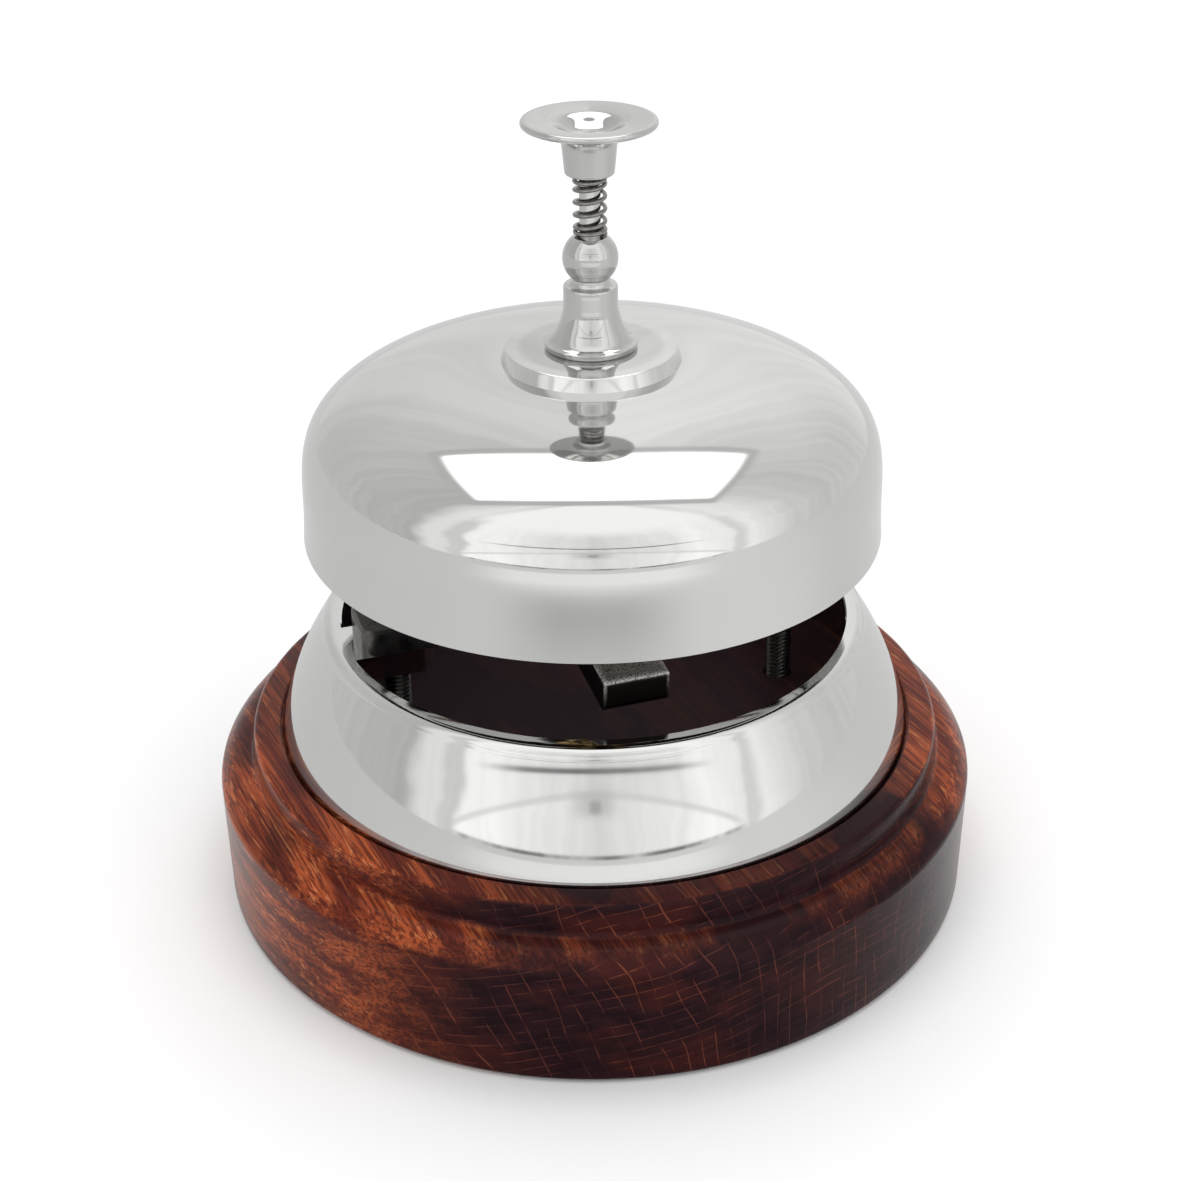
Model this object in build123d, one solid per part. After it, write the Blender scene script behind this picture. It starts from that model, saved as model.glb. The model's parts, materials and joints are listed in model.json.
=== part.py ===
"""Counter service bell: a turned wooden base, a nickelled base ring, a gong on a central pillar,
and a sprung plunger that swings a striker against the inside of the gong.

Millimetres, +Z up. The origin is on the bell's axis, in the plane of the felt underside.
Each piece of the bell is one function, and each is written to parts/NODE.step.
"""
from build123d import *
import math
import os

# ---------------------------------------------------------------- driving dimensions
# wooden base
WOOD_R = 58.0              # widest radius of the base
WOOD_FOOT_R = 57.8         # radius at the bottom edge
WOOD_BOTTOM_Z = 0.4        # the felt stands this much proud of the wood
WOOD_CREASE_R, WOOD_CREASE_Z = 57.5, 19.5      # where the side wall meets the bead
WOOD_BEAD_R, WOOD_BEAD_Z = 53.5, 21.4          # inner end of the bead, foot of the riser
WOOD_TOP_R, WOOD_TOP_Z = 52.5, 26.3            # top land around the ring
WOOD_RECESS_R = 48.5       # recess that locates the base ring
FLOOR_Z = 25.4             # floor of the recess: the ring stands on it
# felt
FELT_R, FELT_TOP_Z = 52.0, 1.6
FELT_GAP = 0.4
# base ring
RING_FOOT_R = 47.95
RING_LIP_Z = 43.4          # top of the lip and of the two lugs
RING_MOUTH_R = 38.0
# gong
GONG_RIM_R, GONG_RIM_Z = 42.5, 57.55
GONG_SHEET = 1.3
CROWN_EDGE_R, CROWN_Z = 12.9, 83.3             # the dome ends level at the foot of the boss
CROWN_SPRING_R, CROWN_SPRING_Z = 41.4, 70.9    # the dome's quarter ellipse starts here
BOSS_R, BOSS_Z = 12.1, 85.25
# finial column
BALL_R, BALL_Z = 3.93, 98.3
COLUMN_TOP_R = 2.4         # flat that the spring stands on
# button and rod
BUTTON_R, BUTTON_TOP_Z = 9.4, 117.8
SKIRT_Z = 110.2            # underside of the button's skirt
ROD_R = 1.5
RUNNING = 0.05             # radial clearance of every running fit
# return spring
SPRING_WIRE_R = 0.3
SPRING_MEAN_R = 2.12
SPRING_CLOSED_PITCH = 0.64
SPRING_CLOSED_TURNS = 1.5  # closed turns at each end
SPRING_ACTIVE_TURNS = 3.5
SPRING_END_GAP = 0.02
# bridge across the ring, turned about the bell's axis
BRIDGE_AZIMUTH = 18.0
BRIDGE_LENGTH, BRIDGE_WIDTH, BRIDGE_HEIGHT = 73.0, 10.0, 4.0
LUG_INNER, LUG_OUTER, LUG_DEPTH = 26.0, 38.6, 3.8
SCREW_PITCH_R = 30.8       # the two base screws stand at this radius
SCREW_R = 1.98             # M4
SCREW_HOLE_R = 2.2
SCREW_THREAD_R = 2.0
SCREW_TIP_Z = 46.4
SCREW_HEAD_R, SCREW_HEAD_H = 3.5, 2.9
SCREW_SEAT_Z = 6.6         # ceiling of the counterbore in the wood
COUNTERBORE_R = 4.6
BASE_WASHER_R, BASE_WASHER_H = 4.3, 0.8
# pillar
PILLAR_R, PILLAR_NECK_R = 4.5, 4.0
PILLAR_SHOULDER_Z = 75.0   # the yoke sits on this shoulder
PILLAR_TOP_Z = 82.75       # the gong's seat washer sits here
STUD_R = 2.95              # M6, above and below the pillar
UPPER_STUD_Z, LOWER_STUD_Z = 92.0, 36.4
SLOT_W, SLOT_LOW_Z, SLOT_TOP_Z = 3.4, 61.0, 74.2
NUT_AF, NUT_H = 10.0, 5.0
NUT_WASHER_R, NUT_WASHER_H = 6.0, 1.0
SEAT_WASHER_R = 8.0
# striker, in its own plane: x runs outwards from the bell's axis
STRIKER_AZIMUTH = -79.9
PIVOT_X, PIVOT_Z = 7.0, 66.3
PIVOT_PIN_R = 1.0
TAIL_ANGLE = 16.5          # the tail stands this high at rest, and this low when pressed
TAIL_REACH_X = -1.2        # the tail ends just past the axis, under the rod
LEVER_T = 3.0              # thickness of the lever across its plane
TAIL_H, SHANK_H, LEVER_BOSS_R = 3.0, 4.0, 2.6
HEAD_W, HEAD_H, HEAD_L = 9.4, 5.4, 13.5
HEAD_X, HEAD_Z = 32.9, 44.9                    # bottom middle of the head's front face at rest
HEAD_PITCH = 5.8           # nose down at rest
HEAD_SKEW = 7.7            # the front corner, not the whole face, meets the gong
HEAD_EDGE = 1.2            # round on the lower front edge
HEAD_SLOT_X = -6.0         # the lever's tongue starts this far behind the front face
RIVET_X, RIVET_R = -9.3, 1.0
# yoke
YOKE_R, YOKE_TOP_Z, YOKE_BAR_TOP_Z = 6.4, 79.6, 78.2
EAR_NEAR_X, EAR_FAR_X = 4.9, 9.3
EAR_GAP, EAR_T, EAR_LOW_Z = 4.2, 1.5, 63.9
CLIP_R, CLIP_T = 2.2, 0.4
SPACER_R, SPACER_T = 2.2, 0.5
GRUB_R = 1.0
# cross pin that keeps the rod in
CROSS_PIN_R, CROSS_PIN_L = 0.6, 5.2
PIN_STOP_GAP = 0.03        # cross pin to the top of the slot at rest
ROD_GAP = 0.05             # rod tip to the lever's tail at rest

# ---------------------------------------------------------------- derived places
SWING = 2 * TAIL_ANGLE
TRAVEL = 2 * (PIVOT_X * math.tan(math.radians(TAIL_ANGLE)))
ROD_TIP_SPHERE_Z = (PIVOT_Z + PIVOT_X * math.tan(math.radians(TAIL_ANGLE))
                    + (TAIL_H / 2 + ROD_R + ROD_GAP) / math.cos(math.radians(TAIL_ANGLE)))
CROSS_PIN_Z = SLOT_TOP_Z - CROSS_PIN_R - PIN_STOP_GAP
COLUMN_TOP_Z = BALL_Z + math.sqrt(BALL_R ** 2 - COLUMN_TOP_R ** 2)


# ---------------------------------------------------------------- helpers
def turned(*edges):
    """A solid of revolution about Z from edges drawn as (radius, height) pairs."""
    face = make_face([Plane.XZ * edge for edge in edges])
    return revolve(face, Axis.Z)


def disc(radius, low, high, x=0.0, y=0.0):
    """An upright cylinder between two heights."""
    return Pos(x, y, low) * Cylinder(radius, high - low, align=(Align.CENTER, Align.CENTER, Align.MIN))


def washer(radius, bore, low, high, x=0.0, y=0.0):
    """A flat ring between two heights."""
    return disc(radius, low, high, x, y) - disc(bore, low - 1, high + 1, x, y)


def block(x, y, z):
    """A box from three (low, high) pairs."""
    size = [high - low for low, high in (x, y, z)]
    corner = (x[0], y[0], z[0])
    return Pos(*corner) * Box(*size, align=(Align.MIN, Align.MIN, Align.MIN))


def cross_rod(radius, x, z, low, high):
    """A cylinder along Y, across the striker's plane."""
    return Pos(x, (low + high) / 2, z) * Rot(90, 0, 0) * Cylinder(radius, high - low)


def on_bridge(shape):
    """Turn a shape from the X axis to the bridge's direction."""
    return Rot(0, 0, BRIDGE_AZIMUTH) * shape


def on_striker(shape):
    """Turn a shape from the XZ plane to the striker's plane."""
    return Rot(0, 0, STRIKER_AZIMUTH) * shape


def screw_places():
    """Where the two base screws stand, before the turn to the bridge's direction."""
    return (-SCREW_PITCH_R, SCREW_PITCH_R)


def crown_points(inset, count=7):
    """Points on the gong's dome: a quarter ellipse, moved inwards along its normal."""
    a = CROWN_SPRING_R - CROWN_EDGE_R
    b = CROWN_Z - CROWN_SPRING_Z
    points = []
    for i in range(count):
        t = math.radians(90.0 * i / (count - 1))
        normal_r = math.cos(t) * b
        normal_z = math.sin(t) * a
        size = math.hypot(normal_r, normal_z)
        r = CROWN_EDGE_R + a * math.cos(t) - inset * normal_r / size
        z = CROWN_SPRING_Z + b * math.sin(t) - inset * normal_z / size
        points.append((r, z))
    return points


# ---------------------------------------------------------------- base
def wood_base():
    """Turned base: side wall, flattened bead, riser and top land, with a recess for the ring."""
    edge = 0.8
    wall_top_z = WOOD_CREASE_Z - 1.4
    bead = ThreePointArc((WOOD_CREASE_R, WOOD_CREASE_Z), (55.8, 20.95), (WOOD_BEAD_R, WOOD_BEAD_Z))
    cove = ThreePointArc((WOOD_BEAD_R, WOOD_BEAD_Z), (52.95, 21.75), (52.75, 22.4))
    riser = Line((52.75, 22.4), (WOOD_TOP_R, WOOD_TOP_Z - edge))
    land_round = ThreePointArc((WOOD_TOP_R, WOOD_TOP_Z - edge), (WOOD_TOP_R - 0.25, WOOD_TOP_Z - 0.25),
                               (WOOD_TOP_R - edge, WOOD_TOP_Z))
    shoulder = ThreePointArc((WOOD_R, wall_top_z), (WOOD_R - 0.1, WOOD_CREASE_Z - 0.6),
                             (WOOD_CREASE_R, WOOD_CREASE_Z))
    wall = Line((WOOD_FOOT_R, WOOD_BOTTOM_Z + edge), (WOOD_R, wall_top_z))
    foot = ThreePointArc((WOOD_FOOT_R - edge, WOOD_BOTTOM_Z), (WOOD_FOOT_R - 0.25, WOOD_BOTTOM_Z + 0.25),
                         (WOOD_FOOT_R, WOOD_BOTTOM_Z + edge))
    inside = Polyline((WOOD_TOP_R - edge, WOOD_TOP_Z), (WOOD_RECESS_R + 0.2, WOOD_TOP_Z),
                      (WOOD_RECESS_R, WOOD_TOP_Z - 0.2), (WOOD_RECESS_R, FLOOR_Z), (0, FLOOR_Z),
                      (0, FELT_TOP_Z), (FELT_R + FELT_GAP, FELT_TOP_Z), (FELT_R + FELT_GAP, WOOD_BOTTOM_Z),
                      (WOOD_FOOT_R - edge, WOOD_BOTTOM_Z))
    solid = turned(foot, wall, shoulder, bead, cove, riser, land_round, *inside.edges())
    for x in screw_places():
        solid -= on_bridge(disc(SCREW_HOLE_R, 0, FLOOR_Z + 1, x))
        solid -= on_bridge(disc(COUNTERBORE_R, 0, SCREW_SEAT_Z, x))
    return solid


def felt_pad():
    """Felt disc in the recess under the base."""
    return disc(FELT_R, 0, FELT_TOP_Z)


def base_ring():
    """Flared ring with an inward lip and two lugs that carry the bridge."""
    foot_edge = 0.3
    foot_lean, top_lean = 5.0, 33.0          # degrees from upright
    flare = Spline((RING_FOOT_R, FLOOR_Z + foot_edge), (47.4, 29.2), (44.5, 36.0), (41.0, 42.0),
                   tangents=[(-math.sin(math.radians(lean)), math.cos(math.radians(lean)))
                             for lean in (foot_lean, top_lean)])
    outside = [
        Line((RING_FOOT_R - foot_edge, FLOOR_Z), (RING_FOOT_R, FLOOR_Z + foot_edge)),
        flare,
        ThreePointArc((41.0, 42.0), (40.35, 43.0), (39.3, RING_LIP_Z)),
        Line((39.3, RING_LIP_Z), (RING_MOUTH_R + 0.2, RING_LIP_Z)),
        Line((RING_MOUTH_R + 0.2, RING_LIP_Z), (RING_MOUTH_R, RING_LIP_Z - 0.2)),
    ]
    inside = Polyline((RING_MOUTH_R, RING_LIP_Z - 0.2), (RING_MOUTH_R, 41.4), (44.3, 30.0), (44.9, FLOOR_Z),
                      (RING_FOOT_R - foot_edge, FLOOR_Z))
    ring = turned(*outside, *inside.edges())
    half_width = BRIDGE_WIDTH / 2
    for side in (0, 180):
        lug = block((LUG_INNER, LUG_OUTER), (-half_width, half_width), (RING_LIP_Z - LUG_DEPTH, RING_LIP_Z))
        lug = fillet(lug.edges().filter_by(Axis.Z).group_by(Axis.X)[0], 2.0)
        lug -= disc(SCREW_HOLE_R, 0, RING_LIP_Z + 1, SCREW_PITCH_R)
        ring += Rot(0, 0, BRIDGE_AZIMUTH + side) * lug
    return ring


def bridge():
    """Flat bar across the ring. The pillar stands on it and the base screws thread into it."""
    top = RING_LIP_Z + BRIDGE_HEIGHT
    half_length, half_width = BRIDGE_LENGTH / 2, BRIDGE_WIDTH / 2
    bar = block((-half_length, half_length), (-half_width, half_width), (RING_LIP_Z, top))
    bar = fillet(bar.edges().filter_by(Axis.Z), 2.0)
    bar = chamfer(bar.faces().sort_by(Axis.Z)[-1].edges(), 0.4)
    bar -= disc(STUD_R + RUNNING, 0, top + 1)
    for x in screw_places():
        bar -= disc(SCREW_THREAD_R, 0, top + 1, x)
    return on_bridge(bar)


def base_screws():
    """Two pan-head M4 screws, up through the wood and the lugs into the bridge."""
    low = SCREW_SEAT_Z - BASE_WASHER_H
    screws = []
    for x in screw_places():
        head = disc(SCREW_HEAD_R, low - SCREW_HEAD_H, low, x)
        head = fillet(head.edges().sort_by(Axis.Z)[0], 1.2)
        drive = block((x - 2.0, x + 2.0), (-0.5, 0.5), (0, low - SCREW_HEAD_H + 1.3))
        screw = head + disc(SCREW_R, low - 0.5, SCREW_TIP_Z, x) - drive
        screws.append(on_bridge(screw))
    return Compound(children=screws)


def base_screw_washers():
    """One flat washer under each base screw's head."""
    low = SCREW_SEAT_Z - BASE_WASHER_H
    return Compound(children=[on_bridge(washer(BASE_WASHER_R, SCREW_HOLE_R, low, SCREW_SEAT_Z, x))
                              for x in screw_places()])


# ---------------------------------------------------------------- pillar
def pillar():
    """Post with a stud at each end, a bore for the rod and a slot for the striker's tail."""
    foot_z = RING_LIP_Z + BRIDGE_HEIGHT
    body = disc(PILLAR_R, foot_z, PILLAR_SHOULDER_Z)
    body += disc(PILLAR_NECK_R, PILLAR_SHOULDER_Z, PILLAR_TOP_Z)
    body += disc(STUD_R, PILLAR_TOP_Z, UPPER_STUD_Z)
    body += disc(STUD_R, LOWER_STUD_Z, foot_z)
    body -= disc(ROD_R + RUNNING, SLOT_LOW_Z, UPPER_STUD_Z + 1)
    slot = block((-PILLAR_R - 1, PILLAR_R + 1), (-SLOT_W / 2, SLOT_W / 2), (SLOT_LOW_Z, SLOT_TOP_Z))
    return body - on_striker(slot)


def pillar_washer():
    """Washer under the bridge."""
    return washer(NUT_WASHER_R, STUD_R + 0.1, RING_LIP_Z - NUT_WASHER_H, RING_LIP_Z)


def pillar_nut():
    """Hexagon nut that holds the pillar to the bridge."""
    top = RING_LIP_Z - NUT_WASHER_H
    hexagon = extrude(RegularPolygon(NUT_AF / 2, 6, major_radius=False), NUT_H)
    nut = Pos(0, 0, top - NUT_H) * hexagon
    nut &= disc(NUT_AF / 2 + 0.45, top - NUT_H, top)
    return on_bridge(nut - disc(STUD_R + 0.02, 0, top + 1))


# ---------------------------------------------------------------- striker
def pivot_yoke():
    """Collar on the pillar's neck with two ears that hold the pivot pin."""
    collar = disc(YOKE_R, PILLAR_SHOULDER_Z, YOKE_TOP_Z)
    half = EAR_GAP / 2 + EAR_T
    collar += block((0, EAR_FAR_X), (-half, half), (PILLAR_SHOULDER_Z, YOKE_BAR_TOP_Z))
    collar -= disc(PILLAR_NECK_R + 0.02, 0, YOKE_TOP_Z + 1)
    for side in (-1, 1):
        y = sorted((side * EAR_GAP / 2, side * half))
        ear = block((EAR_NEAR_X, EAR_FAR_X), y, (EAR_LOW_Z, PILLAR_SHOULDER_Z + 0.5))
        collar += fillet(ear.edges().filter_by(Axis.Y).group_by(Axis.Z)[0], 1.8)
    collar -= cross_rod(PIVOT_PIN_R, PIVOT_X, PIVOT_Z, -half - 1, half + 1)
    grub_z = (PILLAR_SHOULDER_Z + YOKE_TOP_Z) / 2
    collar -= Pos(-YOKE_R, 0, grub_z) * Rot(0, 90, 0) * Cylinder(GRUB_R, 2 * (YOKE_R - PILLAR_NECK_R) + 1)
    return on_striker(collar)


def yoke_set_screw():
    """Grub screw that locks the yoke to the pillar's neck."""
    grub_z = (PILLAR_SHOULDER_Z + YOKE_TOP_Z) / 2
    length = YOKE_R - PILLAR_NECK_R + 0.2
    screw = Pos(-PILLAR_NECK_R - length / 2, 0, grub_z) * Rot(0, 90, 0) * Cylinder(GRUB_R, length)
    slot = block((-YOKE_R - 1, -YOKE_R + 0.4), (-GRUB_R, GRUB_R), (grub_z - 0.2, grub_z + 0.2))
    return on_striker(screw - slot)


def head_place():
    """Frame of the striker's head: its front face's bottom middle, pitched nose down."""
    return Pos(HEAD_X, 0, HEAD_Z) * Rot(0, HEAD_PITCH, 0)


def striker_lever():
    """Flat bell-crank: a tail under the rod, a boss on the pivot and a shank to the head."""
    half = LEVER_T / 2
    reach = (PIVOT_X - TAIL_REACH_X) / math.cos(math.radians(TAIL_ANGLE))
    tail = block((-reach, 0), (-half, half), (-TAIL_H / 2, TAIL_H / 2))
    tail = Pos(PIVOT_X, 0, PIVOT_Z) * Rot(0, TAIL_ANGLE, 0) * tail
    boss = cross_rod(LEVER_BOSS_R, PIVOT_X, PIVOT_Z, -half, half)
    tongue = head_place() * block((-HEAD_L + 0.8, HEAD_SLOT_X), (-half, half), (0, HEAD_H))
    target = (head_place() * Pos(RIVET_X, 0, HEAD_H / 2)).position
    shank_angle = math.degrees(math.atan2(PIVOT_Z - target.Z, target.X - PIVOT_X))
    shank_length = math.hypot(PIVOT_Z - target.Z, target.X - PIVOT_X)
    shank = block((0, shank_length), (-half, half), (-SHANK_H / 2, SHANK_H / 2))
    shank = Pos(PIVOT_X, 0, PIVOT_Z) * Rot(0, shank_angle, 0) * shank
    lever = tail + boss + shank + tongue
    lever -= cross_rod(PIVOT_PIN_R + RUNNING, PIVOT_X, PIVOT_Z, -half - 1, half + 1)
    rivet = cross_rod(RIVET_R, RIVET_X, HEAD_H / 2, -HEAD_W, HEAD_W)
    return on_striker(lever - head_place() * rivet)


def striker_head():
    """Skewed block, slotted from the back for the lever's tongue."""
    body = block((-HEAD_L, 0), (-HEAD_W / 2, HEAD_W / 2), (0, HEAD_H))
    front_low = body.faces().sort_by(Axis.X)[-1].edges().sort_by(Axis.Z)[0]
    body = fillet(front_low, HEAD_EDGE)
    body = chamfer(body.faces().sort_by(Axis.Z)[-1].edges(), 0.5)
    body = Rot(0, 0, HEAD_SKEW) * body
    slot = block((-HEAD_L - 6, HEAD_SLOT_X), (-LEVER_T / 2, LEVER_T / 2), (-1, HEAD_H + 1))
    rivet = cross_rod(RIVET_R, RIVET_X, HEAD_H / 2, -HEAD_W, HEAD_W)
    return on_striker(head_place() * (body - slot - rivet))


def head_rivet():
    """Rivet through the head and the lever's tongue, dressed flush."""
    rivet = cross_rod(RIVET_R, RIVET_X, HEAD_H / 2, -HEAD_W / 2, HEAD_W / 2)
    return on_striker(head_place() * rivet)


def pivot_pin():
    """Pin through the yoke's ears and the lever."""
    half = EAR_GAP / 2 + EAR_T + CLIP_T + 0.6
    return on_striker(cross_rod(PIVOT_PIN_R, PIVOT_X, PIVOT_Z, -half, half))


def rings_on_pin(radius, bore, near, far):
    """A pair of flat rings on the pivot pin, one each side of the lever's plane."""
    rings = []
    for side in (-1, 1):
        low, high = sorted((side * near, side * far))
        ring = cross_rod(radius, PIVOT_X, PIVOT_Z, low, high)
        rings.append(on_striker(ring - cross_rod(bore, PIVOT_X, PIVOT_Z, low - 1, high + 1)))
    return Compound(children=rings)


def pivot_spacers():
    """Thin washers that centre the lever between the ears."""
    near = EAR_GAP / 2 - SPACER_T
    return rings_on_pin(SPACER_R, PIVOT_PIN_R + RUNNING, near, EAR_GAP / 2)


def pivot_pin_clips():
    """Retaining rings at the pin's two ends."""
    near = EAR_GAP / 2 + EAR_T
    return rings_on_pin(CLIP_R, PIVOT_PIN_R, near, near + CLIP_T)


# ---------------------------------------------------------------- gong and column
def gong():
    """Spun bell with a tapered wall, an elliptical dome and a raised boss at its centre."""
    outer = crown_points(0)
    inner = crown_points(GONG_SHEET)
    lip = 0.35
    wall_lean = (outer[0][0] - GONG_RIM_R, outer[0][1] - GONG_RIM_Z)
    rim_in = GONG_RIM_R - GONG_SHEET
    outside = Spline((GONG_RIM_R, GONG_RIM_Z + lip), (42.2, 63.5), *outer[1:], tangents=(wall_lean, (-1, 0)))
    inside = Spline(*reversed(inner[1:]), (42.2 - GONG_SHEET, 63.5), (rim_in, GONG_RIM_Z + lip),
                    tangents=((1, 0), (-wall_lean[0], -wall_lean[1])))
    bore = STUD_R + 0.15
    under = BOSS_Z - GONG_SHEET
    boss = Polyline((CROWN_EDGE_R, CROWN_Z), (BOSS_R + 0.25, BOSS_Z - 0.35), (BOSS_R - 0.1, BOSS_Z),
                    (bore, BOSS_Z), (bore, under), (BOSS_R - GONG_SHEET, under),
                    (CROWN_EDGE_R - GONG_SHEET / 2, CROWN_Z - GONG_SHEET), inner[-1])
    rim = ThreePointArc((rim_in, GONG_RIM_Z + lip), (GONG_RIM_R - GONG_SHEET / 2, GONG_RIM_Z),
                        (GONG_RIM_R, GONG_RIM_Z + lip))
    return turned(outside, *boss.edges(), inside, rim)


def gong_seat_washer():
    """Fibre washer between the pillar and the gong."""
    return washer(SEAT_WASHER_R, STUD_R + 0.1, PILLAR_TOP_Z, BOSS_Z - GONG_SHEET)


def finial_column():
    """Turned column that screws onto the upper stud and clamps the gong. The rod runs through it."""
    flange_top = 86.3
    neck_r, neck_z = 2.7, 95.0
    ball_foot_z = BALL_Z - math.sqrt(BALL_R ** 2 - neck_r ** 2)
    outline = [
        Line((6.3, BOSS_Z), (6.65, BOSS_Z + 0.3)),
        Line((6.65, BOSS_Z + 0.3), (6.75, flange_top - 0.15)),
        Line((6.75, flange_top - 0.15), (6.5, flange_top)),
        Spline((6.5, flange_top), (4.9, 87.9), (4.12, 90.0), (3.87, 91.7), tangents=((-1, 0.25), (0, 1))),
        Line((3.87, 91.7), (3.84, 94.15)),
        Line((3.84, 94.15), (3.6, 94.4)),
        ThreePointArc((3.6, 94.4), (3.0, 94.6), (neck_r, neck_z)),
        Line((neck_r, neck_z), (neck_r, ball_foot_z)),
        ThreePointArc((neck_r, ball_foot_z), (BALL_R, BALL_Z), (COLUMN_TOP_R, COLUMN_TOP_Z)),
    ]
    thread_r = STUD_R + 0.02
    rod_bore = ROD_R + RUNNING
    bore = Polyline((COLUMN_TOP_R, COLUMN_TOP_Z), (rod_bore, COLUMN_TOP_Z), (rod_bore, UPPER_STUD_Z + 0.2),
                    (thread_r, UPPER_STUD_Z + 0.2), (thread_r, BOSS_Z), (6.3, BOSS_Z))
    return turned(*outline, *bore.edges())


# ---------------------------------------------------------------- plunger
def plunger_rod():
    """Rod with a domed tip that rests over the striker's tail."""
    rod = disc(ROD_R, ROD_TIP_SPHERE_Z, SKIRT_Z + 4.3)
    rod += Pos(0, 0, ROD_TIP_SPHERE_Z) * Sphere(ROD_R)
    rod -= on_striker(Pos(0, 0, CROSS_PIN_Z) * Rot(0, 90, 0) * Cylinder(CROSS_PIN_R, 4 * ROD_R))
    return rod


def rod_retaining_pin():
    """Cross pin that stops the rod against the top of the pillar's slot."""
    return on_striker(Pos(0, 0, CROSS_PIN_Z) * Rot(0, 90, 0) * Cylinder(CROSS_PIN_R, CROSS_PIN_L))


def button():
    """Push button: a flat flange round a shallow bowl, over a tapered skirt pressed onto the rod."""
    top, bowl_r, bowl_z = BUTTON_TOP_Z, 1.2, BUTTON_TOP_Z - 2.3
    outline = [
        Line((ROD_R, SKIRT_Z), (3.1, SKIRT_Z)),
        ThreePointArc((3.1, SKIRT_Z), (3.38, SKIRT_Z + 0.14), (3.48, SKIRT_Z + 0.45)),
        Line((3.48, SKIRT_Z + 0.45), (3.8, 114.1)),
        Spline((3.8, 114.1), (4.25, 115.2), (6.2, 116.25), (8.9, 116.85), tangents=((0.1, 1), (1, 0.2))),
        ThreePointArc((8.9, 116.85), (BUTTON_R, 117.35), (8.95, top)),
        Spline((8.95, top), (6.5, top - 0.22), (5.0, top - 0.52), (4.4, top - 0.84), (3.6, top - 1.42),
               (2.8, top - 1.92), (2.1, top - 2.2), (bowl_r, bowl_z), tangents=((-1, -0.06), (-1, 0))),
        Line((bowl_r, bowl_z), (0, bowl_z)),
    ]
    hole = Polyline((0, bowl_z), (0, SKIRT_Z + 4.3), (ROD_R, SKIRT_Z + 4.3), (ROD_R, SKIRT_Z))
    return turned(*outline, *hole.edges())


def return_spring():
    """Compression spring between the column's ball and the button, closed at both ends."""
    low = COLUMN_TOP_Z + SPRING_WIRE_R + SPRING_END_GAP
    high = SKIRT_Z - SPRING_WIRE_R - SPRING_END_GAP
    closed_rise = SPRING_CLOSED_TURNS * SPRING_CLOSED_PITCH
    active_rise = high - low - 2 * closed_rise
    coils = []
    z, turned_by = low, 0.0
    for turns, rise in ((SPRING_CLOSED_TURNS, closed_rise), (SPRING_ACTIVE_TURNS, active_rise),
                        (SPRING_CLOSED_TURNS, closed_rise)):
        coil = Pos(0, 0, z) * Rot(0, 0, 360 * turned_by) * Helix(rise / turns, rise, SPRING_MEAN_R)
        coils += coil.edges()
        z += rise
        turned_by += turns
    path = Wire(coils)
    section = Plane(origin=path @ 0, z_dir=path % 0) * Circle(SPRING_WIRE_R)
    return sweep(section, path=path, is_frenet=True)


# ---------------------------------------------------------------- write the parts
NODES = [
    wood_base, felt_pad, base_ring, bridge, base_screws, base_screw_washers,
    pillar, pillar_washer, pillar_nut,
    pivot_yoke, yoke_set_screw, striker_lever, striker_head, head_rivet,
    pivot_pin, pivot_spacers, pivot_pin_clips,
    gong, gong_seat_washer, finial_column,
    plunger_rod, rod_retaining_pin, button, return_spring,
]

os.makedirs("parts", exist_ok=True)
for make in NODES:
    export_step(make(), f"parts/{make.__name__}.step")
print(f"button travel {TRAVEL:.3f} mm, striker swing {SWING:.2f} degrees")
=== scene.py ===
"""Looks of the counter service bell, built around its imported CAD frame.

The scene is in metres. Dimensions below are in millimetres unless a comment says otherwise.
"""
import json
import math

import bmesh
import bpy
import numpy as np
from mathutils import Matrix, Vector

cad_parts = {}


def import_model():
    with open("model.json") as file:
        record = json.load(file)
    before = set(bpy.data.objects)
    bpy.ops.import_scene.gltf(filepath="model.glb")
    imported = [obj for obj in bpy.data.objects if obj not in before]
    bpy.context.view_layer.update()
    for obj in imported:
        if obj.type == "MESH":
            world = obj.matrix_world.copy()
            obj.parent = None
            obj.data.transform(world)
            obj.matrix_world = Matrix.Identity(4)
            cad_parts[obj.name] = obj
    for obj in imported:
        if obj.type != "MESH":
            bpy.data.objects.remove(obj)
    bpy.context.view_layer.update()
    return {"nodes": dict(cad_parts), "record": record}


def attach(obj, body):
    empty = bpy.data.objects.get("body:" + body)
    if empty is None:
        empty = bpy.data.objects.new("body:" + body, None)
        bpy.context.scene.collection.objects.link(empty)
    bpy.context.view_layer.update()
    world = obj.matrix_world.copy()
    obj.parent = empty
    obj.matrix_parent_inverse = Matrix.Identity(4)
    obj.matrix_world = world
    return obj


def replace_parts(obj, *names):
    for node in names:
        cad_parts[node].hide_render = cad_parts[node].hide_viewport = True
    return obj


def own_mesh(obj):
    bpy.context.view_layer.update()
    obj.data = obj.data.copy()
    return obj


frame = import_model()
NODES = frame["nodes"]
MM = 0.001


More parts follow.
